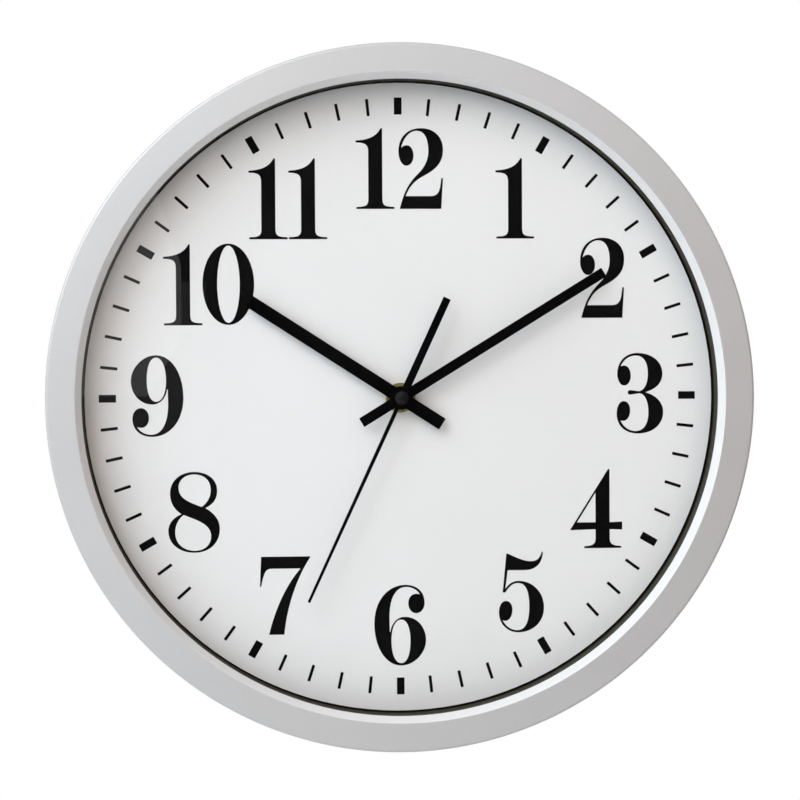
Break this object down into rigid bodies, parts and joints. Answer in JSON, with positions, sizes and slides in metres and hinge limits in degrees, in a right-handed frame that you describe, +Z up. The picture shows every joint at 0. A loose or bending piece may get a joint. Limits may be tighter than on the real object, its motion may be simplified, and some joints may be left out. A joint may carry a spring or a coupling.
{
  "type": "wall clock",
  "caption": "Round analogue wall clock: silver bezel, flat glass, white numbered dial, three straight hands, and a battery quartz movement behind a back plate that hangs on a keyhole.",
  "frame": {"origin": "on the hand axis, in the plane of the bezel's rear rim, which lies on the wall", "axes": "+Z up to twelve o'clock, +X to three o'clock seen from the front, +Y from the front into the wall"},
  "size_m": [0.3, 0.044, 0.3],
  "materials": {
    "silver_paint": "satin silver paint on moulded plastic",
    "clear_glass": "flat polished float glass",
    "black_ring_plastic": "black moulded plastic, slight gloss",
    "dial_sheet": "matt white printed sheet",
    "back_plastic": "dark grey moulded plastic",
    "zinc_steel": "zinc plated",
    "cushion_rubber": "black rubber sheet",
    "movement_plastic": "black moulded plastic",
    "bridge_plastic": "off-white moulded plastic",
    "brass": "turned brass",
    "gear_plastic": "natural moulded plastic",
    "hand_black": "black lacquer on aluminium sheet",
    "cap_black": "glossy black plastic",
    "magnet_grey": "sintered magnet",
    "motor_iron": "soft iron",
    "bobbin_plastic": "white moulded plastic",
    "coil_copper": "enamelled copper wire",
    "board_green": "circuit board with solder mask",
    "crystal_can": "drawn metal can",
    "chip_black": "moulded resin",
    "contact_metal": "nickel plated spring strip",
    "cell_sleeve": "plain plastic sleeve on a dry cell"
  },
  "bodies": {
    "case": {"bezel": "silver_paint", "lens": "clear_glass", "spacer_ring": "black_ring_plastic", "dial": "dial_sheet", "back_plate": "back_plastic", "back_screws": "zinc_steel", "hanger_plate": "zinc_steel", "hanger_screws": "zinc_steel", "cushion_washer": "cushion_rubber", "movement_case": "movement_plastic", "movement_cover": "movement_plastic", "train_bridge": "bridge_plastic", "bridge_screws": "zinc_steel", "threaded_bushing": "brass", "dial_washer": "brass", "hex_nut": "brass", "stator": "motor_iron", "coil_core": "motor_iron", "coil_bobbin": "bobbin_plastic", "coil_winding": "coil_copper", "circuit_board": "board_green", "quartz_crystal": "crystal_can", "chip_cap": "chip_black", "battery_contact_positive": "contact_metal", "battery_contact_negative": "contact_metal"},
    "seconds": {"second_wheel": "gear_plastic", "second_hand": "hand_black", "second_hand_cap": "cap_black"},
    "minutes": {"cannon_pinion": "gear_plastic", "centre_wheel": "gear_plastic", "minute_hand": "hand_black"},
    "hours": {"hour_wheel": "gear_plastic", "hour_hand": "hand_black"},
    "third_gear": {"third_wheel": "gear_plastic"},
    "intermediate_gear": {"intermediate_wheel": "gear_plastic"},
    "rotor": {"rotor_pinion": "gear_plastic", "rotor_magnet": "magnet_grey"},
    "motion_gear": {"minute_wheel": "gear_plastic"},
    "setting": {"setting_shaft": "gear_plastic", "setting_knob": "movement_plastic"},
    "battery": {"battery_cell": "cell_sleeve"}
  },
  "joints": [
    {"name": "second_hand_turn", "type": "hinge", "parent": "case", "child": "seconds", "pos_m": [0, -0.012, 0], "axis": [0, 1, 0], "continuous": true},
    {"name": "minute_hand_turn", "type": "hinge", "parent": "case", "child": "minutes", "pos_m": [0, -0.012, 0], "axis": [0, 1, 0], "continuous": true},
    {"name": "hour_hand_turn", "type": "hinge", "parent": "case", "child": "hours", "pos_m": [0, -0.012, 0], "axis": [0, 1, 0], "continuous": true},
    {"name": "third_wheel_turn", "type": "hinge", "parent": "case", "child": "third_gear", "pos_m": [0.0045, -0.012, 0.00779], "axis": [0, 1, 0], "continuous": true},
    {"name": "intermediate_wheel_turn", "type": "hinge", "parent": "case", "child": "intermediate_gear", "pos_m": [-0.00668, -0.012, 0.00668], "axis": [0, 1, 0], "continuous": true},
    {"name": "rotor_turn", "type": "hinge", "parent": "case", "child": "rotor", "pos_m": [-0.01126, -0.012, 0.01126], "axis": [0, 1, 0], "continuous": true},
    {"name": "minute_wheel_turn", "type": "hinge", "parent": "case", "child": "motion_gear", "pos_m": [0.00658, -0.012, -0.00239], "axis": [0, 1, 0], "continuous": true},
    {"name": "setting_knob_turn", "type": "hinge", "parent": "case", "child": "setting", "pos_m": [0.01348, -0.012, 0.00012], "axis": [0, 1, 0], "continuous": true},
    {"name": "battery_removal", "type": "slide", "parent": "case", "child": "battery", "axis": [0, 1, 0], "range_m": [0, 0.02]}
  ],
  "couplings": [
    {"joint": "minute_hand_turn", "follows": "second_hand_turn", "ratio": 0.016667},
    {"joint": "hour_hand_turn", "follows": "second_hand_turn", "ratio": 0.0013889},
    {"joint": "third_wheel_turn", "follows": "second_hand_turn", "ratio": -0.125},
    {"joint": "intermediate_wheel_turn", "follows": "second_hand_turn", "ratio": -6},
    {"joint": "rotor_turn", "follows": "second_hand_turn", "ratio": 30},
    {"joint": "minute_wheel_turn", "follows": "second_hand_turn", "ratio": -0.0055556},
    {"joint": "setting_knob_turn", "follows": "second_hand_turn", "ratio": 0.013889}
  ]
}
